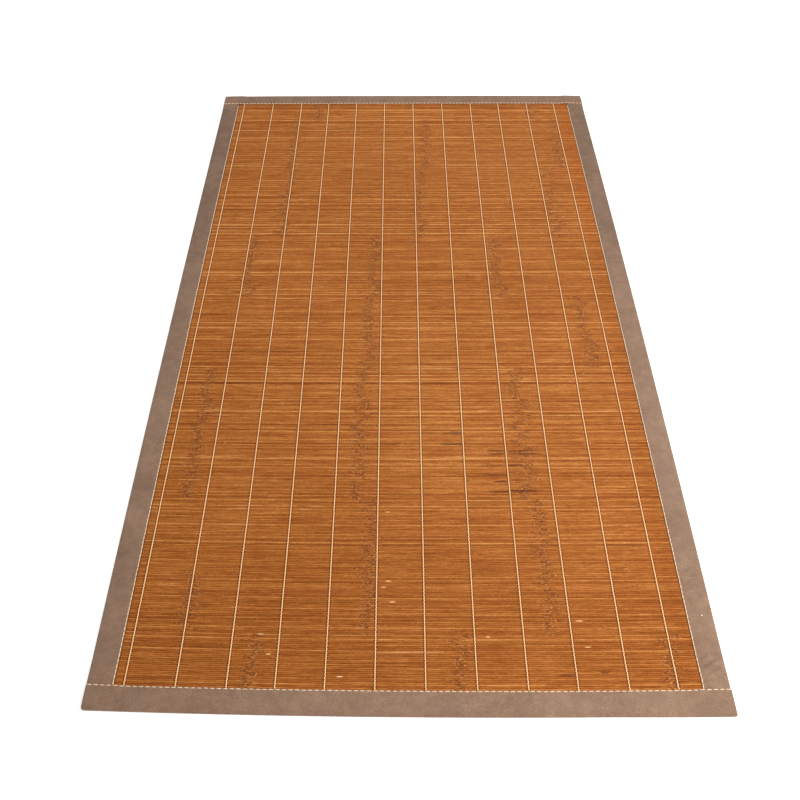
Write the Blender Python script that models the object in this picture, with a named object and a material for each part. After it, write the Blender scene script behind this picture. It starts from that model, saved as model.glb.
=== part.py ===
"""Bamboo mat, laid out flat.

Bamboo strips lie side by side across the mat and form one ribbed panel. Warp threads run along the mat on
the strips. A cloth tape is folded over each edge: two side bindings over the strips' ends, and two end
bindings over the first and last strips and over the side bindings at the corners.

Metres, +Z up. X runs across the mat and Y along it, with the near end at -Y. The origin is on the floor
under the middle of the mat.
"""

from math import cos, radians, sin, sqrt

import bmesh
import bpy

# Sizes of the whole mat
MAT_WIDTH = 1.0
MAT_LENGTH = 1.95

# How it lies: the sides bow outwards, the whole mat swings a little to the left at its far end, and each
# end is a shallow curve, whose left corner lies back at the near end and right corner at the far end
SIDE_BOW = 0.0045
SWING = 0.0018
SWING_MIDDLE = -0.5
NEAR_CURVE = 0.0291
NEAR_CURVE_X = 0.205
FAR_CURVE = 0.006
FAR_CURVE_X = -0.15

# Layers
CLOTH = 0.001
CLEARANCE = 0.0003
STRIP_THICKNESS = 0.002
STRIP_GROOVE = 0.0007

# Bamboo panel
STRIP_PITCH = 0.003675
STRIP_COUNT = 524
STRIP_SHOULDER = 0.24
STRIPS_PER_BAY = 4
STRIP_LENGTH = 0.99
PANEL_FAR_END = 0.969

# Warp threads: where the first one lies, then the spaces to the others
THREAD_FIRST_X = -0.441
THREAD_SPACES = (0.080, 0.079, 0.0755, 0.077, 0.078, 0.079, 0.080, 0.079, 0.077, 0.079, 0.0755)
THREAD_WIDTH = 0.0024
THREAD_HEIGHT = 0.0008

# Bindings: how much of the mat each one covers, the rounding of its fold and corners, the bevel along the
# end bindings' closed sides, and how far inside them the side bindings stop
SIDE_COVER = 0.044
NEAR_COVER = 0.0425
FAR_COVER = 0.046
FOLD_RADIUS = 0.0021
FOLD_STEPS = 3
CORNER_RADIUS = 0.005
WALL_EDGE = 0.0012
SIDE_END_GAP = 0.0065

# The side bindings and the panel climb onto the end bindings' lower layer over this stretch. A point on
# the near edge's set-back corner reaches it up to CLIMB_LAG later on the true rectangle.
CLIMB_START = 0.858
CLIMB_END = 0.918
CLIMB_LAG = 0.015
CLIMB_STATIONS = 8

# The end bindings' upper layer climbs onto the side bindings over this stretch
STEP_LENGTH = 0.020
STEP_STATIONS = 4

MIDDLE_SPACING = 0.13
SMOOTH_BELOW = 35

# Heights of the layers above the floor, where nothing lies under the side bindings
LAYER = CLOTH + CLEARANCE
PANEL_BOTTOM = LAYER
PANEL_TOP = PANEL_BOTTOM + STRIP_THICKNESS
SIDE_HEIGHT = PANEL_TOP + LAYER
END_HEIGHT = SIDE_HEIGHT + LAYER

HALF_WIDTH = MAT_WIDTH / 2
HALF_LENGTH = MAT_LENGTH / 2
SIDE_FACE_X = HALF_WIDTH - LAYER
SIDE_EDGE_X = HALF_WIDTH - SIDE_COVER

BAMBOO_COLOUR = (0.434, 0.150, 0.034)
CLOTH_COLOUR = (0.283, 0.181, 0.127)
THREAD_COLOUR = (0.780, 0.480, 0.240)


def clear_scene():
    for item in list(bpy.data.objects):
        bpy.data.objects.remove(item, do_unlink=True)


def make_material(name, colour, roughness):
    material = bpy.data.materials.new(name)
    material.use_nodes = True
    shader = material.node_tree.nodes["Principled BSDF"]
    shader.inputs["Base Color"].default_value = (*colour, 1.0)
    shader.inputs["Roughness"].default_value = roughness
    shader.inputs["Metallic"].default_value = 0.0
    return material


def add_piece(name, mesh, material):
    """Turns a finished closed mesh into an object, with its faces pointing out."""
    bmesh.ops.recalc_face_normals(mesh, faces=mesh.faces)
    data = bpy.data.meshes.new(name)
    mesh.to_mesh(data)
    mesh.free()
    data.materials.append(material)
    data.shade_smooth()
    data.set_sharp_from_angle(angle=radians(SMOOTH_BELOW))
    piece = bpy.data.objects.new(name, data)
    bpy.context.scene.collection.objects.link(piece)
    return piece


def ease(start, end, value):
    """Goes smoothly from 0 at start to 1 at end."""
    share = min(max((value - start) / (end - start), 0.0), 1.0)
    return share * share * (3 - 2 * share)


def spread(start, end, count):
    """Evenly spaced values from start to end, both included."""
    return [start + (end - start) * step / count for step in range(count + 1)]


def lie(x, y):
    """Moves a point of the true rectangle to where it lies on the slightly uneven mat."""
    bow = 1 + SIDE_BOW / HALF_WIDTH * (1 - (y / HALF_LENGTH) ** 2)
    swing = SWING * ((y - SWING_MIDDLE) / (HALF_LENGTH - SWING_MIDDLE)) ** 2
    near = (0.5 - y / MAT_LENGTH) ** 2 * NEAR_CURVE * (x - NEAR_CURVE_X) ** 2
    far = (0.5 + y / MAT_LENGTH) ** 2 * FAR_CURVE * (x - FAR_CURVE_X) ** 2
    return x * bow - swing, y + near - far


def lift(y):
    """How far the end bindings' lower layer raises what lies on it."""
    return LAYER * ease(CLIMB_START, CLIMB_END, abs(y))


def loft(mesh, rings):
    """Skins a chain of rings. Point k of a ring pairs with point -1-k, which gives the two end faces."""
    rows = [[mesh.verts.new(point) for point in ring] for ring in rings]
    for row, following in zip(rows, rows[1:]):
        for k in range(len(row)):
            mesh.faces.new((row[k - 1], row[k], following[k], following[k - 1]))
    for row in (rows[0], rows[-1]):
        for k in range(len(row) // 2 - 1):
            mesh.faces.new((row[k], row[k + 1], row[-2 - k], row[-1 - k]))


def long_stations(start, end):
    """Places along the mat for a piece's rings: close on the two climbs, wide apart in the middle."""
    climb = spread(CLIMB_START, CLIMB_END + CLIMB_LAG, CLIMB_STATIONS)
    count = round(2 * CLIMB_START / MIDDLE_SPACING)
    middle = spread(-CLIMB_START, CLIMB_START, count)[1:-1]
    inner = [-y for y in reversed(climb)] + middle + climb
    return [start] + [y for y in inner if start < y < end] + [end]


def panel_row(mesh, y, height):
    """The two ends of one line of the panel's surface, which runs straight across the mat."""
    z = height + lift(y)
    return [mesh.verts.new((side * STRIP_LENGTH / 2, y, z)) for side in (-1, 1)]


def build_panel(material):
    """The strips, as one solid with a flat underside and a raised rib for each strip."""
    mesh = bmesh.new()
    near_end = PANEL_FAR_END - STRIP_COUNT * STRIP_PITCH
    groove = PANEL_TOP - STRIP_GROOVE
    upper = []
    lower = []
    for strip in range(STRIP_COUNT):
        y = near_end + strip * STRIP_PITCH
        if strip % STRIPS_PER_BAY == 0:
            lower.append(panel_row(mesh, y, PANEL_BOTTOM))
        upper.append(panel_row(mesh, y, groove))
        upper.append(panel_row(mesh, y + STRIP_SHOULDER * STRIP_PITCH, PANEL_TOP))
        upper.append(panel_row(mesh, y + (1 - STRIP_SHOULDER) * STRIP_PITCH, PANEL_TOP))
    lower.append(panel_row(mesh, PANEL_FAR_END, PANEL_BOTTOM))
    upper.append(panel_row(mesh, PANEL_FAR_END, groove))
    for rows in (lower, upper):
        for row, following in zip(rows, rows[1:]):
            mesh.faces.new((row[0], row[1], following[1], following[0]))
    rows_per_bay = 3 * STRIPS_PER_BAY
    for bay in range(len(lower) - 1):
        over = upper[bay * rows_per_bay:(bay + 1) * rows_per_bay + 1]
        for side in (0, 1):
            outline = [lower[bay + 1][side], lower[bay][side]] + [row[side] for row in over]
            mesh.faces.new(outline)
    for low, high in ((lower[0], upper[0]), (lower[-1], upper[-1])):
        mesh.faces.new((low[0], low[1], high[1], high[0]))
    return add_piece("bamboo_panel", mesh, material)


def build_thread(number, middle_x, material):
    """One warp thread, a slim bar on the strips' crowns that ends at the end bindings' edges."""
    mesh = bmesh.new()
    start = -HALF_LENGTH + NEAR_COVER + CLEARANCE
    end = HALF_LENGTH - FAR_COVER - CLEARANCE
    half = THREAD_WIDTH / 2
    section = ((-half, 0.0), (half, 0.0), (half / 2, THREAD_HEIGHT), (-half / 2, THREAD_HEIGHT))
    rings = []
    for flat_y in long_stations(start, end):
        x, y = lie(middle_x, flat_y)
        z = PANEL_TOP + CLEARANCE + lift(y)
        rings.append([(x + across, y, z + up) for across, up in section])
    loft(mesh, rings)
    return add_piece(f"warp_thread_{number:02d}", mesh, material)


def tape_skin(width, height, depth):
    """One skin of the folded tape, from its lower free edge round the fold to its upper one.

    Each point is the distance in from the fold's outer face and the height above the tape's underside.
    depth is 0 for the outer skin and the cloth's thickness for the inner one.
    """
    radius = FOLD_RADIUS - depth
    points = [(width, depth)]
    for middle_height, first_angle in ((FOLD_RADIUS, 0), (height - FOLD_RADIUS, 90)):
        for angle in spread(first_angle, first_angle + 90, FOLD_STEPS):
            turn = radians(angle)
            points.append((FOLD_RADIUS - radius * sin(turn), middle_height - radius * cos(turn)))
    points.append((width, height - depth))
    return points


def build_side_binding(name, side, material):
    """A tape folded over the strips' ends, with both its ends inside the end bindings."""
    mesh = bmesh.new()
    width = SIDE_FACE_X - SIDE_EDGE_X
    section = tape_skin(width, SIDE_HEIGHT, 0.0) + tape_skin(width, SIDE_HEIGHT, CLOTH)[::-1]
    reach = HALF_LENGTH - SIDE_END_GAP
    rings = []
    for flat_y in long_stations(-reach, reach):
        ring = []
        for inward, up in section:
            x, y = lie(side * (SIDE_FACE_X - inward), flat_y)
            ring.append((x, y, up + lift(y)))
        rings.append(ring)
    loft(mesh, rings)
    return add_piece(name, mesh, material)


def drawn_in(distance, radius):
    """How far a rounded edge draws in at a distance behind its outermost line."""
    if distance >= radius:
        return 0.0
    return radius - sqrt(radius ** 2 - (radius - distance) ** 2)


def end_top(x):
    """Height of the end bindings' top, which steps up onto the side bindings."""
    step_end = SIDE_EDGE_X - CLEARANCE
    return END_HEIGHT + LAYER * ease(step_end - STEP_LENGTH, step_end, abs(x))


def cross_stations():
    """Places across the mat for the end bindings' points, close on the two steps."""
    step_end = SIDE_EDGE_X - CLEARANCE
    steps = spread(step_end - STEP_LENGTH, step_end, STEP_STATIONS)
    count = round(2 * steps[0] / MIDDLE_SPACING)
    middle = spread(-steps[0], steps[0], count)[1:-1]
    return [-x for x in reversed(steps)] + middle + steps


def pocket_ring(end, behind, depth):
    """A ring round the end binding, at a distance behind its fold, on its outer or inner skin.

    Its sides are bevelled, less where the fold pinches the ring thinner.
    """
    half = HALF_WIDTH - depth - drawn_in(behind - depth, CORNER_RADIUS - depth)
    pinch = depth + drawn_in(behind - depth, FOLD_RADIUS - depth)
    edge = (WALL_EDGE - depth / 2) * (1 - pinch / (END_HEIGHT / 2))
    across = [edge - half] + cross_stations() + [half - edge]
    under = [(-half, pinch + edge)] + [(x, pinch) for x in across] + [(half, pinch + edge)]
    over = [(-half, end_top(half) - pinch - edge)]
    over += [(x, end_top(x) - pinch) for x in across]
    over += [(half, end_top(half) - pinch - edge)]
    ring = []
    for x, z in under + over[::-1]:
        ring.append((*lie(x, end * (HALF_LENGTH - behind)), z))
    return ring


def fold_places(depth):
    """Distances behind the fold's outermost line at which a skin of its round needs a ring."""
    radius = FOLD_RADIUS - depth
    return [FOLD_RADIUS - radius * cos(radians(angle)) for angle in spread(0, 90, FOLD_STEPS)]


def build_end_binding(name, end, cover, material):
    """A tape folded over the mat's end, with its own ends turned in: a pocket open towards the mat."""
    mesh = bmesh.new()
    outer = fold_places(0.0) + [CORNER_RADIUS, cover]
    inner = fold_places(CLOTH) + [CORNER_RADIUS, cover]
    rings = [pocket_ring(end, behind, 0.0) for behind in outer]
    rings += [pocket_ring(end, behind, CLOTH) for behind in reversed(inner)]
    loft(mesh, rings)
    return add_piece(name, mesh, material)


def build_mat():
    clear_scene()
    bamboo = make_material("bamboo", BAMBOO_COLOUR, 0.45)
    cloth = make_material("binding_cloth", CLOTH_COLOUR, 0.9)
    cord = make_material("warp_thread", THREAD_COLOUR, 0.85)
    build_panel(bamboo)
    thread_x = THREAD_FIRST_X
    build_thread(1, thread_x, cord)
    for number, space in enumerate(THREAD_SPACES, start=2):
        thread_x += space
        build_thread(number, thread_x, cord)
    build_side_binding("side_binding_left", -1, cloth)
    build_side_binding("side_binding_right", 1, cloth)
    build_end_binding("end_binding_near", -1, NEAR_COVER, cloth)
    build_end_binding("end_binding_far", 1, FAR_COVER, cloth)


build_mat()
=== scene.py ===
from math import pi, radians, sqrt

import bmesh
import bpy
import numpy as np
from mathutils import Matrix, Vector


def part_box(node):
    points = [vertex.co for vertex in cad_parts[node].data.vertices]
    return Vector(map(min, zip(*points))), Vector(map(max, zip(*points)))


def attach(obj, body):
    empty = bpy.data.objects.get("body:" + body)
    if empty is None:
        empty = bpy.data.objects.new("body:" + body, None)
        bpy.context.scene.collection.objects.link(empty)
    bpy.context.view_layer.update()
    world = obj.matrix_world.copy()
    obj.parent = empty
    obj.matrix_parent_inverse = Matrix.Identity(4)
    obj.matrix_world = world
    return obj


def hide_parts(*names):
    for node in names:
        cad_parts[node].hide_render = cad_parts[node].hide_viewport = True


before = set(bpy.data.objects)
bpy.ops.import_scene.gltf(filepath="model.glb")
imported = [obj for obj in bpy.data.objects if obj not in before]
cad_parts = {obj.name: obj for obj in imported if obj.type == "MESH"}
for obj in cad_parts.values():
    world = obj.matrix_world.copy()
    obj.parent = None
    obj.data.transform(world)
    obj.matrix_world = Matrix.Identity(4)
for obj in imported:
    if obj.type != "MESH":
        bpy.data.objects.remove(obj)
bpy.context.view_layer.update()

# Bamboo strips
# Split bamboo about 3.7 mm wide and 2 mm thick, laid side by side across the mat with its rounded face up.
# Strips split from one culm lie together, so their node marks fall in bands across a run of strips.

MAT_WIDTH = 1.0
MAT_LENGTH = 1.95
HALF_WIDTH = MAT_WIDTH / 2
HALF_LENGTH = MAT_LENGTH / 2
SIDE_BOW = 0.0045
SWING = 0.0018
SWING_MIDDLE = -0.5
NEAR_CURVE = 0.0291
NEAR_CURVE_X = 0.205
FAR_CURVE = 0.006
FAR_CURVE_X = -0.15
CLIMB_START = 0.858
CLIMB_END = 0.918
LAYER = 0.0013

panel_low, panel_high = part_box("bamboo_panel")
PANEL_BOTTOM = panel_low.z
STRIP_THICKNESS = panel_high.z - panel_low.z - LAYER
PANEL_TOP = PANEL_BOTTOM + STRIP_THICKNESS
STRIP_COUNT = 524
STRIP_PITCH = (panel_high.y - panel_low.y) / STRIP_COUNT
STRIP_GAP = 0.00018
STRIP_ROUND = 0.00070
STRIP_CUTS = 9

# Each run of strips from one culm: how far from the far end it reaches, where its first node is and the
# space between its nodes, in metres
CULM_REACH, CULM_NODE, CULM_SPACE = 0, 1, 2
CULMS = (
    (0.128, -0.238, 0.589),
    (0.387, -0.290, 0.3465),
    (0.685, -0.290, 0.327),
    (0.918, -0.354, 0.2815),
    (1.164, -0.076, 0.460),
    (1.514, -0.398, 0.310),
    (1.679, -0.063, 0.298),
    (1.800, -0.363, 0.299),
    (1.950, -0.250, 0.332),
)
NODE_SCATTER = 0.0072
ODD_STRIPS = 0.05
TONE_SWINGS = (0.62, 1.50)


def ease(start, end, value):
    share = np.clip((value - start) / (end - start), 0.0, 1.0)
    return share * share * (3 - 2 * share)


def lie(x, y):
    """Where a point of the true rectangle lies on the slightly uneven mat."""
    bow = 1 + SIDE_BOW / HALF_WIDTH * (1 - (y / HALF_LENGTH) ** 2)
    swing = SWING * ((y - SWING_MIDDLE) / (HALF_LENGTH - SWING_MIDDLE)) ** 2
    near = (0.5 - y / MAT_LENGTH) ** 2 * NEAR_CURVE * (x - NEAR_CURVE_X) ** 2
    far = (0.5 + y / MAT_LENGTH) ** 2 * FAR_CURVE * (x - FAR_CURVE_X) ** 2
    return x * bow - swing, y + near - far


def lift(y):
    """How far the end bindings' lower layer raises the strips and the side bindings."""
    return LAYER * ease(CLIMB_START, CLIMB_END, np.abs(y))


def wander(along, spans, seed):
    """A smooth random line through evenly spaced random heights, from about -1 to 1."""
    heights = np.random.RandomState(seed).uniform(-1, 1, spans + 4)
    place = np.clip(along, 0, 1) * spans
    index = np.floor(place).astype(int)
    share = ease(0, 1, place - index)
    return heights[index] * (1 - share) + heights[index + 1] * share


def mesh_points(data):
    points = np.empty(len(data.vertices) * 3, np.float32)
    data.vertices.foreach_get("co", points)
    return points.reshape(-1, 3).astype(float)


def set_points(data, points):
    data.vertices.foreach_set("co", points.astype(np.float32).ravel())
    data.update()


def set_attribute(data, name, values):
    attribute = data.attributes.new(name, "FLOAT", "POINT")
    attribute.data.foreach_set("value", np.asarray(values, np.float32).ravel())


def add_object(name, data):
    item = bpy.data.objects.new(name, data)
    bpy.context.scene.collection.objects.link(item)
    return item


def apply_modifiers(item):
    """Bakes an object's modifiers into its mesh."""
    evaluated = item.evaluated_get(bpy.context.evaluated_depsgraph_get())
    data = bpy.data.meshes.new_from_object(evaluated)
    item.modifiers.clear()
    item.data = data
    return data


def one_strip():
    """A straight strip on its bed: a bar with its two upper long edges rounded."""
    mesh = bmesh.new()
    bmesh.ops.create_cube(mesh, size=1.0)
    size = (panel_high.x - panel_low.x, STRIP_PITCH - STRIP_GAP, STRIP_THICKNESS)
    bmesh.ops.scale(mesh, vec=size, verts=mesh.verts)
    bmesh.ops.translate(mesh, vec=(0, 0, STRIP_THICKNESS / 2), verts=mesh.verts)
    upper = [e for e in mesh.edges if all(v.co.z > 0 for v in e.verts) and e.calc_length() > 0.5]
    bmesh.ops.bevel(
        mesh, geom=upper, offset=STRIP_ROUND, segments=2, profile=0.5, affect="EDGES", material=-1
    )
    long_edges = [e for e in mesh.edges if e.calc_length() > 0.5]
    bmesh.ops.subdivide_edges(mesh, edges=long_edges, cuts=STRIP_CUTS, use_grid_fill=True)
    data = bpy.data.meshes.new("strip")
    mesh.to_mesh(data)
    mesh.free()
    return data


def strip_facts(middle_y):
    """The tone, the first node and the node spacing of each strip."""
    draw = np.random.RandomState(41)
    count = len(middle_y)
    reach = np.array([culm[CULM_REACH] for culm in CULMS])
    culm = np.searchsorted(reach, HALF_LENGTH - middle_y + draw.uniform(-0.012, 0.012, count))
    culm = np.minimum(culm, len(CULMS) - 1)
    odd = draw.uniform(0, 1, count) < ODD_STRIPS
    culm = np.where(odd, draw.randint(0, len(CULMS), count), culm)
    node = np.array([CULMS[k][CULM_NODE] for k in culm]) + draw.normal(0, NODE_SCATTER, count)
    node += np.where(odd, draw.uniform(-0.12, 0.12, count), 0)
    space = np.array([CULMS[k][CULM_SPACE] for k in culm]) * draw.uniform(0.985, 1.015, count)
    culm_tone = draw.uniform(-0.02, 0.02, len(CULMS))[culm]
    own = draw.normal(0, 0.085, count)
    own -= 0.36 * (np.roll(own, 1) + np.roll(own, -1))
    own += np.where(draw.uniform(0, 1, count) < 0.07, 0.19, 0)
    own -= np.where(draw.uniform(0, 1, count) < 0.06, 0.17, 0)
    uneven = np.interp(middle_y, (-HALF_LENGTH, HALF_LENGTH), TONE_SWINGS)
    return 0.5 + culm_tone + own * uneven, node, space


strips = add_object("bamboo_strips", one_strip())
per_strip = len(strips.data.vertices)
rows = strips.modifiers.new("rows", "ARRAY")
rows.count = STRIP_COUNT
rows.use_relative_offset = False
rows.use_constant_offset = True
rows.constant_offset_displace = (0, STRIP_PITCH, 0)
strip_mesh = apply_modifiers(strips)
bed = mesh_points(strip_mesh).reshape(STRIP_COUNT, per_strip, 3)
middle_y = panel_low.y + STRIP_PITCH * (np.arange(STRIP_COUNT) + 0.5)
local_y = bed[:, :, 1] - STRIP_PITCH * np.arange(STRIP_COUNT)[:, None]
draw = np.random.RandomState(17)
tone, node, space = strip_facts(middle_y)
one_each = (STRIP_COUNT, 1)
width = draw.uniform(0.94, 1.03, one_each)
tilt = draw.normal(0, 0.02, one_each)
height = draw.normal(0, 0.00007, one_each)
bend = draw.normal(0, 0.00009, one_each)
start = draw.uniform(0, 2 * pi, one_each)
turns = draw.uniform(1.5, 4.0, one_each)
wave = np.sin(start + turns * 2 * pi * bed[:, :, 0] / MAT_WIDTH)
flat_y = middle_y[:, None] + local_y * width + bend * wave
rise = local_y * tilt + height * (1 + wave / 2) * (bed[:, :, 2] > STRIP_THICKNESS / 4)
strip_x, strip_y = lie(bed[:, :, 0], flat_y)
strip_z = PANEL_BOTTOM + lift(strip_y) + bed[:, :, 2] + rise
set_points(strip_mesh, np.stack([strip_x, strip_y, strip_z], axis=-1).reshape(-1, 3))
across = local_y / ((STRIP_PITCH - STRIP_GAP) / 2)
seed = draw.uniform(0, 1, STRIP_COUNT)
for name, values in (("tone", tone), ("seed", seed), ("node", node), ("space", space)):
    set_attribute(strip_mesh, name, np.broadcast_to(values[:, None], across.shape))
set_attribute(strip_mesh, "across", across)
strip_mesh.shade_smooth()
strip_mesh.set_sharp_from_angle(angle=radians(50))


class Nodes:
    """Short calls for laying out one material's or one group's shader nodes."""

    def __init__(self, tree):
        self.tree = tree

    def new(self, kind, **settings):
        node = self.tree.nodes.new(kind)
        for name, value in settings.items():
            setattr(node, name, value)
        return node

    def link(self, value, socket):
        if isinstance(value, bpy.types.NodeSocket):
            self.tree.links.new(value, socket)
        else:
            socket.default_value = value

    def math(self, operation, *values):
        node = self.new("ShaderNodeMath", operation=operation)
        for value, socket in zip(values, node.inputs):
            self.link(value, socket)
        return node.outputs[0]

    def swing(self, value, amount):
        """A 0 to 1 value turned into a swing round zero, amount wide."""
        return self.math("MULTIPLY_ADD", value, amount, -amount / 2)

    def total(self, *values):
        result = values[0]
        for value in values[1:]:
            result = self.math("ADD", result, value)
        return result

    def ramp(self, value, low, high, to_low=0.0, to_high=1.0):
        """Goes smoothly from to_low to to_high while value goes from low to high."""
        node = self.new("ShaderNodeMapRange", interpolation_type="SMOOTHSTEP")
        for given, name in (
            (value, "Value"),
            (low, "From Min"),
            (high, "From Max"),
            (to_low, "To Min"),
            (to_high, "To Max"),
        ):
            self.link(given, node.inputs[name])
        return node.outputs["Result"]

    def vector(self, x, y, z):
        node = self.new("ShaderNodeCombineXYZ")
        for value, socket in zip((x, y, z), node.inputs):
            self.link(value, socket)
        return node.outputs[0]

    def noise(self, vector, scale=1.0, detail=2.0, roughness=0.5):
        node = self.new("ShaderNodeTexNoise")
        self.link(vector, node.inputs["Vector"])
        node.inputs["Scale"].default_value = scale
        node.inputs["Detail"].default_value = detail
        node.inputs["Roughness"].default_value = roughness
        return node.outputs["Fac"]

    def mix(self, factor, first, second):
        """Colour first turned into the fixed colour second where factor is 1."""
        node = self.new("ShaderNodeMix", data_type="RGBA")
        self.link(factor, node.inputs["Factor"])
        self.link(first, node.inputs["A"])
        self.link((*second, 1.0), node.inputs["B"])
        return node.outputs["Result"]

    def colours(self, value, stops):
        node = self.new("ShaderNodeValToRGB")
        self.link(value, node.inputs["Fac"])
        points = node.color_ramp.elements
        while len(points) < len(stops):
            points.new(0.5)
        for point, (place, colour) in zip(points, stops):
            point.position = place
            point.color = (*colour, 1.0)
        return node.outputs["Color"]

    def attribute(self, name):
        return self.new("ShaderNodeAttribute", attribute_name=name).outputs["Fac"]

    def object_place(self):
        place = self.new("ShaderNodeTexCoord").outputs["Object"]
        parts = self.new("ShaderNodeSeparateXYZ")
        self.link(place, parts.inputs[0])
        return place, parts.outputs

    def bump(self, shader, height, distance, strength=1.0):
        node = self.new("ShaderNodeBump")
        node.inputs["Distance"].default_value = distance
        node.inputs["Strength"].default_value = strength
        self.link(height, node.inputs["Height"])
        self.link(node.outputs["Normal"], shader.inputs["Normal"])


def new_material(name, roughness, specular):
    """A material with nothing but its Principled BSDF and output, and the calls to lay out the rest."""
    material = bpy.data.materials.new(name)
    material.use_nodes = True
    shader = material.node_tree.nodes["Principled BSDF"]
    shader.inputs["Roughness"].default_value = roughness
    shader.inputs["Specular IOR Level"].default_value = specular
    return material, Nodes(material.node_tree), shader


# Streaks along single strips: middle x and y, half length, and how strong
BROWN_STREAKS = (
    (0.171, -0.4152, 0.019, 0.85),
    (0.218, -0.4154, 0.032, 0.80),
    (0.172, -0.4230, 0.017, 0.80),
    (0.220, -0.4232, 0.034, 0.90),
    (0.162, -0.4525, 0.024, 0.50),
    (0.203, -0.4526, 0.017, 0.90),
    (0.166, -0.4778, 0.024, 0.60),
    (0.175, -0.4935, 0.016, 0.90),
    (0.209, -0.4899, 0.020, 0.75),
    (0.172, -0.5193, 0.022, 0.90),
    (0.217, -0.5158, 0.034, 0.90),
    (0.210, -0.5192, 0.028, 0.60),
    (0.248, -0.9042, 0.014, 0.85),
    (0.309, -0.8989, 0.007, 0.70),
)
GREY_STREAKS = (
    (0.096, -0.3638, 0.012, 0.45),
    (0.091, -0.3674, 0.018, 0.75),
    (0.097, -0.3711, 0.011, 0.40),
    (0.090, -0.3974, 0.024, 0.95),
)
PALE_CHIPS = (
    (-0.032, -0.7194, 0.005, 1.0),
    (-0.040, -0.7318, 0.005, 1.0),
    (-0.025, -0.7625, 0.005, 1.0),
    (-0.107, -0.9049, 0.005, 1.0),
    (-0.238, -0.8248, 0.005, 0.9),
    (-0.222, -0.8626, 0.004, 0.9),
    (0.129, -0.8317, 0.004, 0.9),
    (0.280, -0.8012, 0.006, 0.9),
    (0.288, -0.8511, 0.005, 0.9),
    (-0.034, -0.5665, 0.004, 1.0),
    (0.009, -0.8605, 0.062, 0.45),
    (0.047, -0.1807, 0.064, 0.50),
)
STREAK_HALF_WIDTH = 0.0021
CHIP_HALF_WIDTH = 0.0011
THREAD_FIRST_X = -0.441
THREAD_SPACES = (0.080, 0.079, 0.0755, 0.077, 0.078, 0.079, 0.080, 0.079, 0.077, 0.079, 0.0755)
THREAD_X = [THREAD_FIRST_X + sum(THREAD_SPACES[:k]) for k in range(len(THREAD_SPACES) + 1)]
SIDE_EDGE_X = 0.456


def streaks_mask(nodes, parts, streaks, half_width):
    """Ragged marks at the listed places, as one mask."""
    ragged = nodes.vector(nodes.math("MULTIPLY", parts[0], 330.0), nodes.math("MULTIPLY", parts[1], 700.0), 2.0)
    ragged = nodes.ramp(nodes.noise(ragged), 0.38, 0.54, 0.60, 1.0)
    mask = 0.0
    for middle_x, middle_y, half_length, strength in streaks:
        off_x = nodes.math("DIVIDE", nodes.math("SUBTRACT", parts[0], middle_x), half_length)
        off_y = nodes.math("DIVIDE", nodes.math("SUBTRACT", parts[1], middle_y), half_width)
        squares = nodes.math("ADD", nodes.math("POWER", off_x, 2.0), nodes.math("POWER", off_y, 4.0))
        mask = nodes.math("MAXIMUM", mask, nodes.ramp(squares, 1.5, 0.2, 0.0, strength))
    return nodes.math("MULTIPLY", mask, ragged)


# A lighter area round the darkest streaks: middle x and y, half width and half length, and how light
LIGHT_AREA = (0.090, -0.400, 0.240, 0.170, 0.045)


def bamboo_tone(nodes, place, parts, across, far):
    """Light and dark in the bamboo, from broad clouds down to single fibres, with a painted shade under the far
    tape's edge.
    """
    x, y = parts[0], parts[1]
    cloud = nodes.noise(place, 2.0)
    group = nodes.noise(nodes.vector(nodes.math("MULTIPLY", x, 6.0), nodes.math("MULTIPLY", y, 105.0), 3.0))
    bay = nodes.noise(nodes.vector(nodes.math("MULTIPLY", x, 11.0), far, nodes.math("MULTIPLY", across, 0.4)))
    streak = nodes.vector(nodes.math("MULTIPLY", x, 52.0), nodes.math("MULTIPLY", across, 1.3), far)
    fibre = nodes.vector(nodes.math("MULTIPLY", x, 200.0), nodes.math("MULTIPLY", across, 5.0), far)
    fibre = nodes.noise(fibre, 1.0, 3.0, 0.6)
    off_x = nodes.math("MULTIPLY", nodes.math("SUBTRACT", x, LIGHT_AREA[0]), 1 / LIGHT_AREA[2])
    off_y = nodes.math("MULTIPLY", nodes.math("SUBTRACT", y, LIGHT_AREA[1]), 1 / LIGHT_AREA[3])
    squares = nodes.math("ADD", nodes.math("POWER", off_x, 2.0), nodes.math("POWER", off_y, 2.0))
    tone = nodes.total(
        nodes.attribute("tone"),
        nodes.ramp(squares, 1.0, 0.0, 0.0, LIGHT_AREA[4]),
        nodes.ramp(y, -0.65, -0.85, 0.0, -0.045),
        # Painted shade on the strips just under the far tape's edge
        nodes.ramp(y, 0.897, 0.920, 0.0, -0.13),
        nodes.ramp(x, 0.415, 0.445, 0.0, -0.06),
        nodes.swing(cloud, 0.22),
        nodes.swing(group, 0.16),
        nodes.swing(bay, 0.72),
        nodes.swing(nodes.noise(streak, 1.0, 3.0, 0.6), 0.90),
        nodes.swing(fibre, 1.30),
    )
    return tone, fibre


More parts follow.
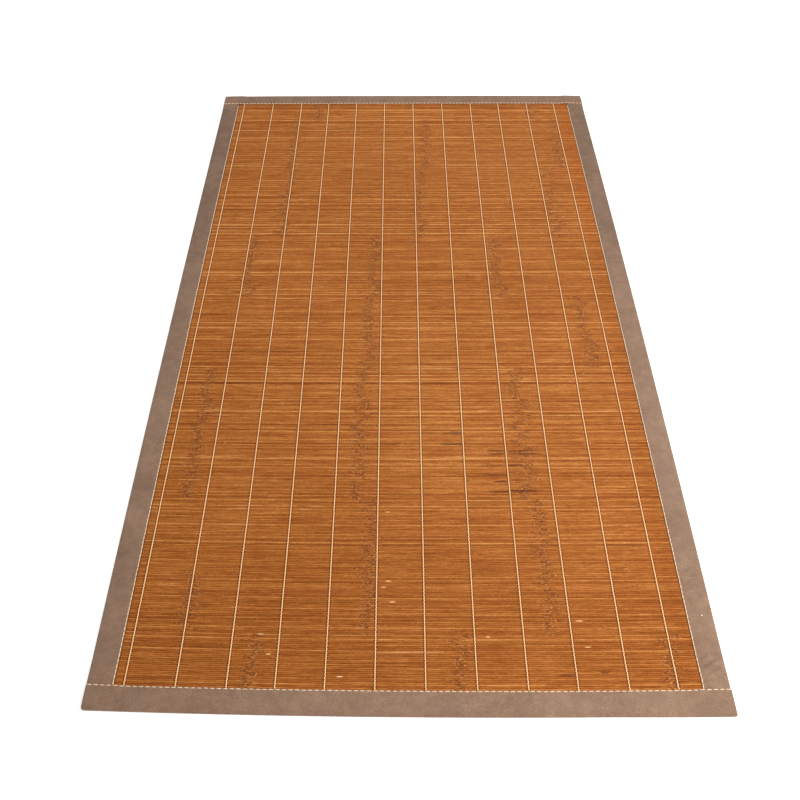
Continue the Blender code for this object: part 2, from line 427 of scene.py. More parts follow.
def node_marks(nodes, parts, across, far):
    """Masks for the reddish band, the dark specks and the pale specks at each strip's nodes."""
    space = nodes.attribute("space")
    steps = nodes.math("DIVIDE", nodes.math("SUBTRACT", parts[0], nodes.attribute("node")), space)
    nearest = nodes.math("ROUND", steps)
    off = nodes.math("MULTIPLY", nodes.math("SUBTRACT", steps, nearest), space)
    distance = nodes.math("ABSOLUTE", off)
    real = nodes.math("GREATER_THAN", nearest, -0.5)
    speck = nodes.vector(nodes.math("MULTIPLY", parts[0], 250.0), nodes.math("MULTIPLY", across, 1.2), far)
    speck = nodes.noise(speck)
    zone = nodes.math("MULTIPLY", nodes.ramp(distance, 0.0145, 0.0050), real)
    dark = nodes.math("MULTIPLY", zone, nodes.ramp(speck, 0.47, 0.60, 0.0, 0.80))
    pale = nodes.math("MULTIPLY", zone, nodes.ramp(speck, 0.48, 0.36, 0.0, 0.78))
    core = nodes.math("MULTIPLY", nodes.ramp(distance, 0.0050, 0.0010, 0.0, 0.40), real)
    return zone, nodes.math("MAXIMUM", dark, core), pale


def flat_place(nodes, parts):
    """The x of a point before the mat's bow and swing moved it."""
    along = nodes.math("MULTIPLY", parts[1], 1 / HALF_LENGTH)
    hollow = nodes.math("MULTIPLY", nodes.math("MULTIPLY", along, along), -SIDE_BOW / HALF_WIDTH)
    bow = nodes.math("ADD", hollow, 1 + SIDE_BOW / HALF_WIDTH)
    swung = nodes.math("DIVIDE", nodes.math("SUBTRACT", parts[1], SWING_MIDDLE), HALF_LENGTH - SWING_MIDDLE)
    swing = nodes.math("MULTIPLY", nodes.math("MULTIPLY", swung, swung), SWING)
    return nodes.math("DIVIDE", nodes.math("ADD", parts[0], swing), bow)


def bamboo_material():
    material, nodes, shader = new_material("split_bamboo", 0.5, 0.08)
    place, parts = nodes.object_place()
    across = nodes.attribute("across")
    far = nodes.math("MULTIPLY", nodes.attribute("seed"), 97.0)
    tone, fibre = bamboo_tone(nodes, place, parts, across, far)
    colour = nodes.colours(
        tone,
        (
            (0.0, (0.172, 0.037, 0.0045)),
            (0.30, (0.287, 0.078, 0.0105)),
            (0.52, (0.410, 0.127, 0.0222)),
            (0.75, (0.560, 0.209, 0.0490)),
            (1.0, (0.760, 0.360, 0.1130)),
        ),
    )
    red = nodes.vector(nodes.math("MULTIPLY", parts[0], 9.0), nodes.math("MULTIPLY", parts[1], 60.0), 8.0)
    red = nodes.noise(red)
    colour = nodes.mix(nodes.ramp(red, 0.52, 0.72, 0.0, 0.42), colour, (0.345, 0.085, 0.0170))
    colour = nodes.mix(nodes.ramp(red, 0.46, 0.30, 0.0, 0.22), colour, (0.400, 0.155, 0.0260))
    warm = nodes.math("MULTIPLY", nodes.ramp(parts[0], 0.405, 0.450), nodes.ramp(parts[1], 0.10, 0.60, 0.0, 0.20))
    colour = nodes.mix(warm, colour, (0.520, 0.125, 0.0090))
    # Node marks
    band, dark, pale = node_marks(nodes, parts, across, far)
    colour = nodes.mix(nodes.math("MULTIPLY", band, 0.30), colour, (0.290, 0.072, 0.013))
    colour = nodes.mix(pale, colour, (0.68, 0.30, 0.095))
    colour = nodes.mix(dark, colour, (0.170, 0.043, 0.008))
    # Stains and chips
    colour = nodes.mix(streaks_mask(nodes, parts, BROWN_STREAKS, STREAK_HALF_WIDTH), colour, (0.115, 0.024, 0.008))
    colour = nodes.mix(streaks_mask(nodes, parts, GREY_STREAKS, STREAK_HALF_WIDTH), colour, (0.075, 0.040, 0.022))
    colour = nodes.mix(streaks_mask(nodes, parts, PALE_CHIPS, CHIP_HALF_WIDTH), colour, (1.0, 0.60, 0.28))
    # Painted shade between the strips, at the holes that the threads go down, and along the side tapes
    flat_x = flat_place(nodes, parts)
    thread = 1.0
    for x in THREAD_X:
        thread = nodes.math("MINIMUM", thread, nodes.math("ABSOLUTE", nodes.math("SUBTRACT", flat_x, x)))
    edge = nodes.math("ABSOLUTE", across)
    open_gap = nodes.noise(nodes.vector(nodes.math("MULTIPLY", parts[0], 7.0), far, 4.0))
    groove_shade = nodes.math("MULTIPLY", nodes.ramp(across, 0.52, 0.95), nodes.ramp(open_gap, 0.46, 0.62, 0.32, 0.82))
    hole_shadow = nodes.math("MULTIPLY", nodes.ramp(thread, 0.0040, 0.0022), nodes.ramp(edge, 0.35, 0.75, 0.10, 0.94))
    # Painted shade on the strips just inside each side tape's edge
    side = nodes.ramp(nodes.math("ABSOLUTE", flat_x), SIDE_EDGE_X - 0.0022, SIDE_EDGE_X - 0.0004, 0.0, 0.50)
    shade = nodes.math("MAXIMUM", nodes.math("MAXIMUM", groove_shade, hole_shadow), side)
    colour = nodes.mix(shade, colour, (0.050, 0.013, 0.003))
    nodes.link(colour, shader.inputs["Base Color"])
    nodes.link(nodes.ramp(fibre, 0.3, 0.7, 0.45, 0.62), shader.inputs["Roughness"])
    nodes.bump(shader, nodes.math("ADD", fibre, nodes.math("MULTIPLY", pale, 0.5)), 0.00016)
    return material


bamboo = bamboo_material()
strip_mesh.materials.clear()
strip_mesh.materials.append(bamboo)
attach(strips, "root")
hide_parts("bamboo_panel")

# Warp threads
# Each line is a pair of cotton strands that run along the mat side by side. One passes over a strip while
# the other passes under it, and they change places between one strip and the next.

STRAND_RADIUS = 0.00101
STRAND_SIDES = 6
STRAND_STEPS = 6
STRAND_APART = 0.00038
RISE_OVER = STRIP_THICKNESS / 2 + 0.5 * STRAND_RADIUS
RISE_UNDER = STRIP_THICKNESS / 2 + 0.2 * STRAND_RADIUS
NEAR_COVER = 0.0432
FAR_COVER = 0.046
TUCKED = 0.002


def strand_mesh(length):
    """A straight strand along Y, cut into short steps."""
    mesh = bmesh.new()
    bmesh.ops.create_cone(
        mesh, cap_ends=True, segments=STRAND_SIDES, radius1=STRAND_RADIUS, radius2=STRAND_RADIUS, depth=length
    )
    bmesh.ops.rotate(mesh, verts=mesh.verts, cent=(0, 0, 0), matrix=Matrix.Rotation(-pi / 2, 3, "X"))
    long_edges = [e for e in mesh.edges if e.calc_length() > length / 2]
    cuts = round(length / (2 * STRIP_PITCH) * STRAND_STEPS) - 1
    bmesh.ops.subdivide_edges(mesh, edges=long_edges, cuts=cuts)
    data = bpy.data.meshes.new("strand")
    mesh.to_mesh(data)
    mesh.free()
    return data


def spun_group():
    """A spun thread: the slanting twist of its plies as a height, and the same with wear as a tone."""
    group = bpy.data.node_groups.new("spun_thread", "ShaderNodeTree")
    socket = group.interface.new_socket
    socket("Place", in_out="INPUT", socket_type="NodeSocketVector")
    socket("Turns", in_out="INPUT", socket_type="NodeSocketVector")
    socket("Wear size", in_out="INPUT", socket_type="NodeSocketFloat")
    socket("Twist", in_out="OUTPUT", socket_type="NodeSocketFloat")
    socket("Tone", in_out="OUTPUT", socket_type="NodeSocketFloat")
    nodes = Nodes(group)
    given = nodes.new("NodeGroupInput")
    result = nodes.new("NodeGroupOutput")
    slant = nodes.new("ShaderNodeVectorMath", operation="DOT_PRODUCT")
    nodes.link(given.outputs["Place"], slant.inputs[0])
    nodes.link(given.outputs["Turns"], slant.inputs[1])
    twist = nodes.math("MULTIPLY_ADD", nodes.math("SINE", slant.outputs["Value"]), 0.5, 0.5)
    wear = nodes.new("ShaderNodeTexNoise")
    nodes.link(given.outputs["Place"], wear.inputs["Vector"])
    nodes.link(given.outputs["Wear size"], wear.inputs["Scale"])
    tone = nodes.math("MULTIPLY_ADD", twist, 0.3, nodes.math("MULTIPLY", wear.outputs["Fac"], 0.7))
    nodes.link(twist, result.inputs["Twist"])
    nodes.link(tone, result.inputs["Tone"])
    return group


spun_thread = spun_group()


def thread_material(name, turns, wear_size, dark, light):
    material, nodes, shader = new_material(name, 0.85, 0.2)
    spun = nodes.new("ShaderNodeGroup", node_tree=spun_thread)
    nodes.link(nodes.object_place()[0], spun.inputs["Place"])
    spun.inputs["Turns"].default_value = turns
    spun.inputs["Wear size"].default_value = wear_size
    colour = nodes.colours(spun.outputs["Tone"], ((0.2, dark), (0.75, light)))
    nodes.link(colour, shader.inputs["Base Color"])
    nodes.bump(shader, spun.outputs["Twist"], 0.00010, 0.5)
    return material


twine = thread_material("warp_twine", (3200.0, 2600.0, 0.0), 60.0, (1.0, 0.50, 0.215), (1.0, 0.71, 0.385))
thread_start = -HALF_LENGTH + NEAR_COVER - TUCKED
thread_end = HALF_LENGTH - FAR_COVER + TUCKED
straight = strand_mesh(thread_end - thread_start)
straight_points = mesh_points(straight)
for number, line_x in enumerate(THREAD_X, start=1):
    mesh = bmesh.new()
    for side, phase in ((-1, 0), (1, 1)):
        flat_y = straight_points[:, 1] + (thread_start + thread_end) / 2
        strip_place = (flat_y - panel_low.y) / STRIP_PITCH - 0.5 + phase
        over = np.cos(pi * strip_place)
        over = np.sign(over) * np.abs(over) ** 0.38
        along = (flat_y + HALF_LENGTH) / MAT_LENGTH
        drift = wander(along, 240, 100 * number + phase) * 0.00015
        x, y = lie(line_x + side * (STRAND_APART - 0.00015 * over) + drift, flat_y)
        from_end = np.minimum(flat_y - thread_start, thread_end - flat_y)
        dip = 0.0006 * (1 - ease(0, 0.006, from_end))
        reach = np.where(over > 0, RISE_OVER, RISE_UNDER)
        middle = (PANEL_BOTTOM + PANEL_TOP) / 2 + lift(y) + over * reach - dip
        points = np.stack([straight_points[:, 0] + x, y, straight_points[:, 2] + middle], axis=1)
        strand = straight.copy()
        set_points(strand, points)
        mesh.from_mesh(strand)
        bpy.data.meshes.remove(strand)
    joined = bpy.data.meshes.new(f"thread_{number:02d}")
    mesh.to_mesh(joined)
    mesh.free()
    joined.shade_smooth()
    joined.materials.append(twine)
    thread = add_object(f"twined_thread_{number:02d}", joined)
    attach(thread, "root")
    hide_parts(f"warp_thread_{number:02d}")
bpy.data.meshes.remove(straight)

# Side bindings
# Two taupe cotton tapes, each folded over the strips' ends and sewn through them close to its inner edge.
# The sewing pulls small puckers into the cloth, which is a little fuller between the seam and the fold.

CLOTH = 0.001
CLEARANCE = 0.0003
SIDE_HEIGHT = PANEL_TOP + CLOTH + CLEARANCE
SIDE_FACE_X = HALF_WIDTH - CLOTH - CLEARANCE
SIDE_REACH = HALF_LENGTH - 0.0065
FOLD_RADIUS = 0.0021
SEAM_INSET = 0.0014
SEAM_DIP = 0.00030
TAPE_FULLNESS = 0.00040
PUCKER = 0.00030
TAPE_STEP = 0.006
LEFT_OUT = 0.0006
RIGHT_WIDER = 1.016


def tape_stations(width, height):
    """Distances round the tape from its lower free edge to its upper one, close at the seams and the fold."""
    flap = width - FOLD_RADIUS
    quarter = pi * (FOLD_RADIUS - CLOTH / 2) / 2
    wall = height - 2 * FOLD_RADIUS
    near_edge = [0, 0.0006, SEAM_INSET, 0.0022, 0.0034, 0.006]
    middle = [flap * share for share in (0.24, 0.34, 0.45, 0.58, 0.72, 0.86, 1.0)]
    fold = [flap + quarter * share for share in (0.33, 0.67, 1.0)]
    lower = near_edge + middle + fold
    total = 2 * (flap + quarter) + wall
    return lower + [total - s for s in reversed(lower)], total


def tape_place(s, width, height):
    """The tape's middle line at distances s round it: distance in from the fold's face, and height."""
    flap = width - FOLD_RADIUS
    radius = FOLD_RADIUS - CLOTH / 2
    quarter = pi * radius / 2
    total = 2 * (flap + quarter) + height - 2 * FOLD_RADIUS
    upper = s > total / 2
    t = np.where(upper, total - s, s)
    angle = np.clip((t - flap) / quarter, 0, 1) * pi / 2
    inward = np.where(t < flap, width - t, FOLD_RADIUS - radius * np.sin(angle))
    up = np.where(t < flap, CLOTH / 2, FOLD_RADIUS - radius * np.cos(angle))
    up = np.where(t > flap + quarter, FOLD_RADIUS + (t - flap - quarter), up)
    return inward, np.where(upper, height - up, up), t, upper


def tape_relief(t, upper, flap, along, spans, seed):
    """How far the upper layer stands up from a flat tape: full in the middle, drawn down along the seam."""
    full = TAPE_FULLNESS * np.sin(pi * np.clip((t - SEAM_INSET) / (flap - SEAM_INSET), 0, 1)) ** 0.8
    dip = SEAM_DIP * np.exp(-(((t - SEAM_INSET) / 0.0011) ** 2))
    fine = wander(along, spans, seed) * np.exp(-t / 0.011)
    broad = wander(along, spans // 4, seed + 1) * np.exp(-t / 0.030)
    pucker = PUCKER * (0.6 * fine + 0.7 * broad) * ease(0.0, 0.003, t)
    return np.where(upper, full - dip + pucker, 0.0)


def tape_grid(stations, places):
    """A flat grid of the tape, with each of its points' distance round the tape and place along it."""
    mesh = bmesh.new()
    bmesh.ops.create_grid(mesh, x_segments=len(stations) - 1, y_segments=len(places) - 1, size=0.5)
    data = bpy.data.meshes.new("tape")
    mesh.to_mesh(data)
    mesh.free()
    points = mesh_points(data)
    column = np.rint((points[:, 0] + 0.5) * (len(stations) - 1)).astype(int)
    row = np.rint((points[:, 1] + 0.5) * (len(places) - 1)).astype(int)
    return data, np.asarray(stations)[column], np.asarray(places)[row]


def set_tape_uv(data, s, along):
    """The cloth's own measures in metres, so that its weave follows the tape."""
    layer = data.uv_layers.new(name="tape")
    index = np.empty(len(data.loops), np.int32)
    data.loops.foreach_get("vertex_index", index)
    layer.data.foreach_set("uv", np.stack([s, along], axis=1)[index].astype(np.float32).ravel())


def face_outwards(data):
    mesh = bmesh.new()
    mesh.from_mesh(data)
    bmesh.ops.recalc_face_normals(mesh, faces=mesh.faces)
    mesh.to_mesh(data)
    mesh.free()


def finish_tape(item, material):
    """Gives the tape its thickness, with its faces pointing out, and its cloth."""
    face_outwards(item.data)
    wall = item.modifiers.new("cloth", "SOLIDIFY")
    wall.thickness = CLOTH * 0.9
    wall.offset = 0
    data = apply_modifiers(item)
    face_outwards(data)
    data.shade_smooth()
    data.set_sharp_from_angle(angle=radians(60))
    data.materials.clear()
    data.materials.append(material)


def weave_group():
    """Plain weave on a cloth's own UV: its height, and how much each yarn differs in tone."""
    group = bpy.data.node_groups.new("plain_weave", "ShaderNodeTree")
    socket = group.interface.new_socket
    socket("UV", in_out="INPUT", socket_type="NodeSocketVector")
    socket("Yarns per metre", in_out="INPUT", socket_type="NodeSocketFloat")
    socket("Height", in_out="OUTPUT", socket_type="NodeSocketFloat")
    socket("Yarn tone", in_out="OUTPUT", socket_type="NodeSocketFloat")
    nodes = Nodes(group)
    given = nodes.new("NodeGroupInput")
    result = nodes.new("NodeGroupOutput")
    parts = nodes.new("ShaderNodeSeparateXYZ")
    nodes.link(given.outputs["UV"], parts.inputs[0])
    count = given.outputs["Yarns per metre"]
    across = nodes.math("MULTIPLY", parts.outputs[0], count)
    along = nodes.math("MULTIPLY", parts.outputs[1], count)
    over = nodes.math("SINE", nodes.math("MULTIPLY", across, pi))
    under = nodes.math("SINE", nodes.math("MULTIPLY", along, pi))
    nodes.link(nodes.math("ABSOLUTE", nodes.math("MULTIPLY", over, under)), result.inputs["Height"])
    warp_yarn = nodes.noise(nodes.vector(across, nodes.math("MULTIPLY", along, 0.05), 0.0), 0.7, 1.0)
    weft_yarn = nodes.noise(nodes.vector(nodes.math("MULTIPLY", across, 0.05), along, 5.0), 0.7, 1.0)
    nodes.link(nodes.math("MULTIPLY", nodes.math("ADD", warp_yarn, weft_yarn), 0.5), result.inputs["Yarn tone"])
    return group


# A fleck of pale lint on the right binding: x, y and half its size
LINT = (0.4818, -0.792, 0.0011)

# Creases slanting across the right binding: middle x and y, half length across the tape, and how deep
CREASES = (
    (0.4760, -0.8830, 0.016, 1.0),
    (0.4680, -0.8720, 0.009, 0.6),
    (0.4800, -0.8960, 0.013, 0.5),
    (0.4700, -0.7030, 0.011, 0.6),
    (0.4690, -0.7270, 0.010, 0.5),
    (0.4780, -0.5960, 0.012, 0.4),
)
CREASE_SLANT = 0.60
CREASE_WIDTH = 0.0055


def crease_mask(nodes, parts):
    """Soft slanting hollows at the creases, as one mask, used for their bump and for the painted shade in them."""
    mask = 0.0
    for middle_x, middle_y, half_length, depth in CREASES:
        off_x = nodes.math("SUBTRACT", parts[0], middle_x)
        level = nodes.math("MULTIPLY_ADD", off_x, CREASE_SLANT, middle_y)
        away = nodes.math("ABSOLUTE", nodes.math("SUBTRACT", parts[1], level))
        ends = nodes.ramp(nodes.math("ABSOLUTE", off_x), half_length, half_length * 0.5, 0.0, depth)
        line = nodes.math("MULTIPLY", nodes.ramp(away, CREASE_WIDTH, 0.0), ends)
        mask = nodes.math("MAXIMUM", mask, line)
    return mask


def binding_material():
    material, nodes, shader = new_material("binding_cloth", 0.92, 0.15)
    weave = nodes.new("ShaderNodeGroup", node_tree=weave_group())
    tape_uv = nodes.new("ShaderNodeUVMap", uv_map="tape").outputs["UV"]
    nodes.link(tape_uv, weave.inputs["UV"])
    weave.inputs["Yarns per metre"].default_value = 1100.0
    place, parts = nodes.object_place()
    cloud = nodes.noise(place, 11.0, 3.0, 0.55)
    mottle = nodes.noise(place, 60.0, 3.0, 0.6)
    grain = nodes.noise(place, 420.0, 3.0, 0.7)
    # Painted shade: the cloth darker towards the left and towards the far end, where less light falls, and less
    # dark again over the last few centimetres of the far end
    uneven = nodes.total(
        nodes.ramp(parts[0], -0.45, 0.20, -0.05, 0.0),
        nodes.ramp(parts[1], -0.10, 0.75, 0.0, -0.24),
        nodes.ramp(parts[1], 0.900, 0.935, 0.0, 0.14),
    )
    tone = nodes.total(
        0.5,
        uneven,
        nodes.swing(cloud, 0.50),
        nodes.swing(mottle, 0.45),
        nodes.swing(grain, 0.85),
        nodes.swing(weave.outputs["Yarn tone"], 0.20),
    )
    colour = nodes.colours(
        tone,
        ((0.20, (0.190, 0.106, 0.064)), (0.50, (0.286, 0.170, 0.107)), (0.80, (0.400, 0.255, 0.170))),
    )
    faded = nodes.noise(place, 26.0, 2.0)
    colour = nodes.mix(nodes.ramp(faded, 0.50, 0.70, 0.0, 0.5), colour, (0.270, 0.163, 0.112))
    creases = crease_mask(nodes, parts)
    # Painted shade in the crease hollows
    colour = nodes.mix(nodes.math("MULTIPLY", creases, 0.45), colour, (0.130, 0.072, 0.045))
    off_x = nodes.math("SUBTRACT", parts[0], LINT[0])
    off_y = nodes.math("SUBTRACT", parts[1], LINT[1])
    squares = nodes.math("ADD", nodes.math("POWER", off_x, 2.0), nodes.math("POWER", off_y, 2.0))
    fleck = nodes.ramp(nodes.math("SQRT", squares), LINT[2] * 1.3, LINT[2] * 0.6)
    colour = nodes.mix(fleck, colour, (0.90, 0.88, 0.84))
    nodes.link(colour, shader.inputs["Base Color"])
    shader.inputs["Sheen Weight"].default_value = 0.10
    shader.inputs["Sheen Roughness"].default_value = 0.6
    height = nodes.total(weave.outputs["Height"], nodes.math("MULTIPLY", mottle, 0.7), grain)
    height = nodes.math("MULTIPLY_ADD", creases, -3.0, height)
    nodes.bump(shader, height, 0.00022)
    return material


binding_cloth = binding_material()
side_width = SIDE_FACE_X - SIDE_EDGE_X
side_flap = side_width - FOLD_RADIUS
side_stations, side_round = tape_stations(side_width, SIDE_HEIGHT)
side_places = np.linspace(-SIDE_REACH, SIDE_REACH, round(2 * SIDE_REACH / TAPE_STEP) + 1)


def side_surface(s, place, side):
    """World place of points on a side binding's middle line."""
    inward, up, t, upper = tape_place(s, side_width, SIDE_HEIGHT)
    along = (place + HALF_LENGTH) / MAT_LENGTH
    ragged = 0.00025 * wander(along, 150, 7 + side) * np.exp(-t / 0.004)
    relief = tape_relief(t, upper, side_flap, along, 130, 20 + 5 * side)
    if side > 0:
        inward = inward * RIGHT_WIDER
    else:
        inward = inward - LEFT_OUT
    x, y = lie(side * (SIDE_FACE_X - inward - ragged), place)
    return x, y, up + relief + lift(y)


side_bindings = {}
for side, word in ((-1, "left"), (1, "right")):
    data, s, place = tape_grid(side_stations, side_places)
    set_points(data, np.stack(side_surface(s, place, side), axis=1))
    set_tape_uv(data, s, place)
    tape = add_object(f"side_tape_{word}", data)
    finish_tape(tape, binding_cloth)
    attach(tape, "root")
    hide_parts(f"side_binding_{word}")
    side_bindings[side] = tape

# End bindings
# The same tape folded over the first and last strips and over the side bindings. Its own ends are turned
# in and closed, which gives the mat its rounded corners.

END_HEIGHT = SIDE_HEIGHT + LAYER
STEP_LENGTH = 0.020
CORNER_RADII = {(-1, -1): 0.0045, (-1, 1): 0.0012, (1, -1): 0.003, (1, 1): 0.003}
END_ROUND = 0.0026
END_DRAW = 0.0008
FAR_SLACK = 0.003
NEAR_SPREAD = 0.0006
NEAR_CORNER_SPREAD = 0.0018
STEP_END = SIDE_EDGE_X - CLEARANCE


def drawn_in(distance, radius):
    """How far a rounded edge draws in at a distance behind its outermost line."""
    behind = np.clip(radius - distance, 0, radius)
    return radius - np.sqrt(radius ** 2 - behind ** 2)


def end_surface(s, flat_x, end, cover):
    """World place of points on an end binding's middle line."""
    height = END_HEIGHT + LAYER * ease(STEP_END - STEP_LENGTH, STEP_END, np.abs(flat_x))
    inward, up, t, upper = tape_place(s, cover, END_HEIGHT)
    up = np.where(upper, up + height - END_HEIGHT, up)
    from_end = HALF_WIDTH - np.abs(flat_x)
    flap = cover - FOLD_RADIUS
    along = (flat_x + HALF_WIDTH) / MAT_WIDTH
    up = up + tape_relief(t, upper, flap, along, 80, 60 + 5 * end)
    closing = np.sqrt(np.clip(1 - (1 - np.clip(from_end / END_ROUND, 0, 1)) ** 2, 0, 1))
    middle = height / 2 + CLOTH / 2 * np.where(upper, 1, -1)
    up = middle + (up - middle) * closing
    radius = np.where(flat_x < 0, CORNER_RADII[end, -1], CORNER_RADII[end, 1])
    corner = drawn_in(from_end, radius)
    inward = corner + inward * (cover - corner) / cover
    if end > 0:
        inward = inward + FAR_SLACK * (np.abs(flat_x) / HALF_WIDTH) ** 10
    else:
        spread = NEAR_SPREAD + NEAR_CORNER_SPREAD * ease(0.28, 0.48, flat_x)
        inward = inward - spread * (1 - inward / cover)
    ragged = 0.00025 * wander(along, 90, 9 + end) * np.exp(-t / 0.004)
    true_x = flat_x * (1 - END_DRAW / HALF_WIDTH)
    x, y = lie(true_x, end * (HALF_LENGTH - inward - ragged))
    return x, y, up


corner_steps = [0, 0.0002, 0.0007, 0.0014, 0.0026, 0.0038, 0.005, 0.008]
inner_half = HALF_WIDTH - corner_steps[-1]
end_places = [x - HALF_WIDTH for x in corner_steps[:-1]]
end_places += list(np.linspace(-inner_half, inner_half, round(2 * inner_half / TAPE_STEP) + 1))
end_places += [HALF_WIDTH - x for x in reversed(corner_steps[:-1])]
end_bindings = {}
end_rounds = {}
for end, word, cover in ((-1, "near", NEAR_COVER), (1, "far", FAR_COVER)):
    stations, end_rounds[end] = tape_stations(cover, END_HEIGHT)
    data, s, place = tape_grid(stations, end_places)
    set_points(data, np.stack(end_surface(s, place, end, cover), axis=1))
    set_tape_uv(data, s, place)
    tape = add_object(f"end_tape_{word}", data)
    finish_tape(tape, binding_cloth)
    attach(tape, "root")
    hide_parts(f"end_binding_{word}")
    end_bindings[end] = tape

# Sewing
# Thick thread, lockstitched through the tapes and the strips, so it shows on the underside too. The rows on
# the end bindings show as separate cream dashes, and the side seams as a close and paler line.

STITCH_PITCH = 0.0101
NEAR_STITCH = 0.0083
FAR_STITCH = 0.0092
SIDE_STITCH = 0.0104
NEAR_STITCH_RADIUS = 0.00074
FAR_STITCH_RADIUS = 0.00092
SIDE_STITCH_RADIUS = 0.00088
STITCH_SEGMENTS = 6
STITCH_RINGS = 7
UNDER_FLAT = 0.4


def stitch_mesh(length, radius):
    """One stitch lying along X: a slim bead whose two ends go down into the cloth."""
    mesh = bmesh.new()
    bmesh.ops.create_uvsphere(mesh, u_segments=STITCH_SEGMENTS, v_segments=STITCH_RINGS, radius=1.0)
    bmesh.ops.rotate(mesh, verts=mesh.verts, cent=(0, 0, 0), matrix=Matrix.Rotation(pi / 2, 3, "Y"))
    for vert in mesh.verts:
        share = vert.co.x
        fat = radius / max(sqrt(max(1 - share * share, 0)), 0.2) * (1 - abs(share) ** 5 * 0.6)
        vert.co.y *= fat
        vert.co.z = vert.co.z * fat - abs(share) ** 4 * radius
        vert.co.x = share * length / 2
    data = bpy.data.meshes.new("stitch")
    mesh.to_mesh(data)
    mesh.free()
    return data


def seam_points(surface, first, count, seam_s):
    """Middles of a row of stitches on one layer of a binding, and their directions."""
    step = 0.0005
    places = first + STITCH_PITCH * np.arange(count)
    seam = np.full(count, seam_s)
    before, middle, after = (np.stack(surface(seam, places + d), axis=1) for d in (-step, 0.0, step))
    ahead = after - before
    return middle, np.arctan2(ahead[:, 1], ahead[:, 0])


def stitch_row(name, length, radius, surface, total, seam_in, first, count, seed, material):
    """A row of stitches on the upper layer and one on the lower layer, as one piece."""
    single = stitch_mesh(length, radius)
    draw = np.random.RandomState(seed)
    mesh = bmesh.new()
    for seam_s, rise, thick in (
        (total - seam_in, CLOTH / 2 + radius * 0.30, 1.0),
        (seam_in, UNDER_FLAT * radius - CLOTH / 2, -UNDER_FLAT),
    ):
        middles, directions = seam_points(surface, first, count, seam_s)
        for middle, direction in zip(middles, directions):
            known = len(mesh.verts)
            mesh.from_mesh(single)
            mesh.verts.ensure_lookup_table()
            turn = Matrix.Rotation(direction + draw.normal(0, 0.03), 4, "Z")
            size = Matrix.Diagonal((draw.uniform(0.94, 1.04), draw.uniform(0.9, 1.1), thick, 1.0))
            place = Matrix.Translation(Vector(middle) + Vector((0, 0, rise)))
            bmesh.ops.transform(mesh, matrix=place @ turn @ size, verts=mesh.verts[known:])
    bmesh.ops.recalc_face_normals(mesh, faces=mesh.faces)
    data = bpy.data.meshes.new(name)
    mesh.to_mesh(data)
    mesh.free()
    bpy.data.meshes.remove(single)
    data.shade_smooth()
    data.materials.append(material)
    row = add_object(name, data)
    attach(row, "root")
    return row


stitch_turns = (3600.0, 3600.0, 0.0)
cream = thread_material("end_sewing", stitch_turns, 220.0, (0.98, 0.61, 0.38), (1.0, 0.78, 0.56))
pale = thread_material("side_sewing", stitch_turns, 220.0, (0.72, 0.50, 0.32), (1.0, 0.78, 0.54))
end_count = int(MAT_WIDTH / STITCH_PITCH)
end_first = -(end_count - 1) * STITCH_PITCH / 2
for end, word, cover, length, radius in (
    (-1, "near", NEAR_COVER, NEAR_STITCH, NEAR_STITCH_RADIUS),
    (1, "far", FAR_COVER, FAR_STITCH, FAR_STITCH_RADIUS),
):
    def surface(s, place, end=end, cover=cover):
        return end_surface(s, place, end, cover)

    stitch_row(
        f"end_stitches_{word}", length, radius, surface, end_rounds[end], SEAM_INSET,
        end_first, end_count, 300 + end, cream,
    )
side_count = int((2 * HALF_LENGTH - NEAR_COVER - FAR_COVER - 0.004) / STITCH_PITCH)
side_first = -HALF_LENGTH + NEAR_COVER + 0.005
for side, word in ((-1, "left"), (1, "right")):
    def surface(s, place, side=side):
        return side_surface(s, place, side)

    stitch_row(
        f"side_stitches_{word}", SIDE_STITCH, SIDE_STITCH_RADIUS, surface, side_round, SEAM_INSET * 0.7,
        side_first, side_count, 310 + side, pale,
    )

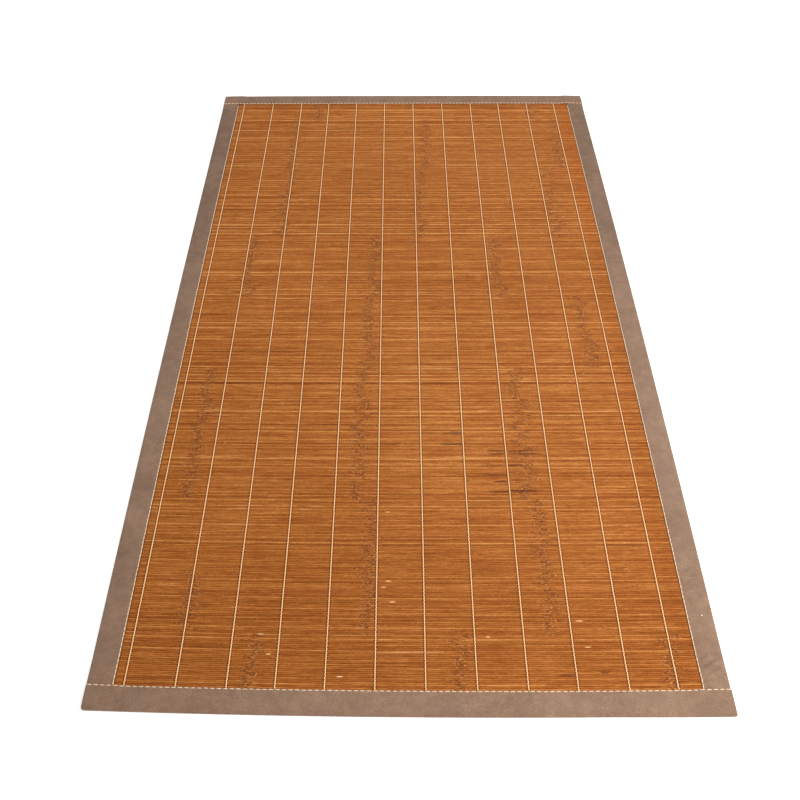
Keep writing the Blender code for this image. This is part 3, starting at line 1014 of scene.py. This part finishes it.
for side, tape in side_bindings.items():
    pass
for end, tape in end_bindings.items():
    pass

# Floor, light and camera
# A plain white floor under soft light from above, seen from above and in front of the mat's near end.

CAMERA_PLACE = (-0.01006, -1.84214, 1.48109)
CAMERA_DOWN = 43.309
CAMERA_TURN = 0.058
CAMERA_ROLL = -0.195
CAMERA_LENS = 48.85
FLOOR_SIZE = 9.0

mesh = bmesh.new()
bmesh.ops.create_grid(mesh, x_segments=1, y_segments=1, size=FLOOR_SIZE)
floor_data = bpy.data.meshes.new("floor")
mesh.to_mesh(floor_data)
mesh.free()
floor = add_object("floor", floor_data)
floor_material, nodes, shader = new_material("white_floor", 0.9, 0.0)
shader.inputs["Base Color"].default_value = (0.88, 0.88, 0.88, 1.0)
shader.inputs["Emission Color"].default_value = (1.0, 1.0, 1.0, 1.0)
shader.inputs["Emission Strength"].default_value = 0.44
floor_data.materials.append(floor_material)

world = bpy.data.worlds.new("studio")
bpy.context.scene.world = world
world.use_nodes = True
world.node_tree.nodes["Background"].inputs["Color"].default_value = (1.0, 1.0, 1.0, 1.0)
world.node_tree.nodes["Background"].inputs["Strength"].default_value = 0.47


def area_light(name, place, target, size, power):
    data = bpy.data.lights.new(name, "AREA")
    data.shape = "DISK"
    data.size = size
    data.energy = power
    lamp = add_object(name, data)
    lamp.location = place
    lamp.rotation_euler = (Vector(target) - Vector(place)).to_track_quat("-Z", "Y").to_euler()


area_light("key_light", (1.45, -1.45, 1.5), (0.1, -0.4, 0.0), 1.0, 38.0)
area_light("top_light", (0.7, 1.7, 2.6), (0.0, 0.2, 0.0), 1.8, 46.0)

camera_data = bpy.data.cameras.new("camera")
camera_data.sensor_width = 36.0
camera_data.lens = CAMERA_LENS
camera = add_object("camera", camera_data)
turn = Matrix.Rotation(radians(CAMERA_TURN), 4, "Z")
tip = Matrix.Rotation(radians(90 - CAMERA_DOWN), 4, "X")
roll = Matrix.Rotation(radians(CAMERA_ROLL), 4, "Z")
camera.matrix_world = Matrix.Translation(CAMERA_PLACE) @ turn @ tip @ roll
bpy.context.scene.camera = camera
bpy.context.scene.view_settings.view_transform = "Standard"
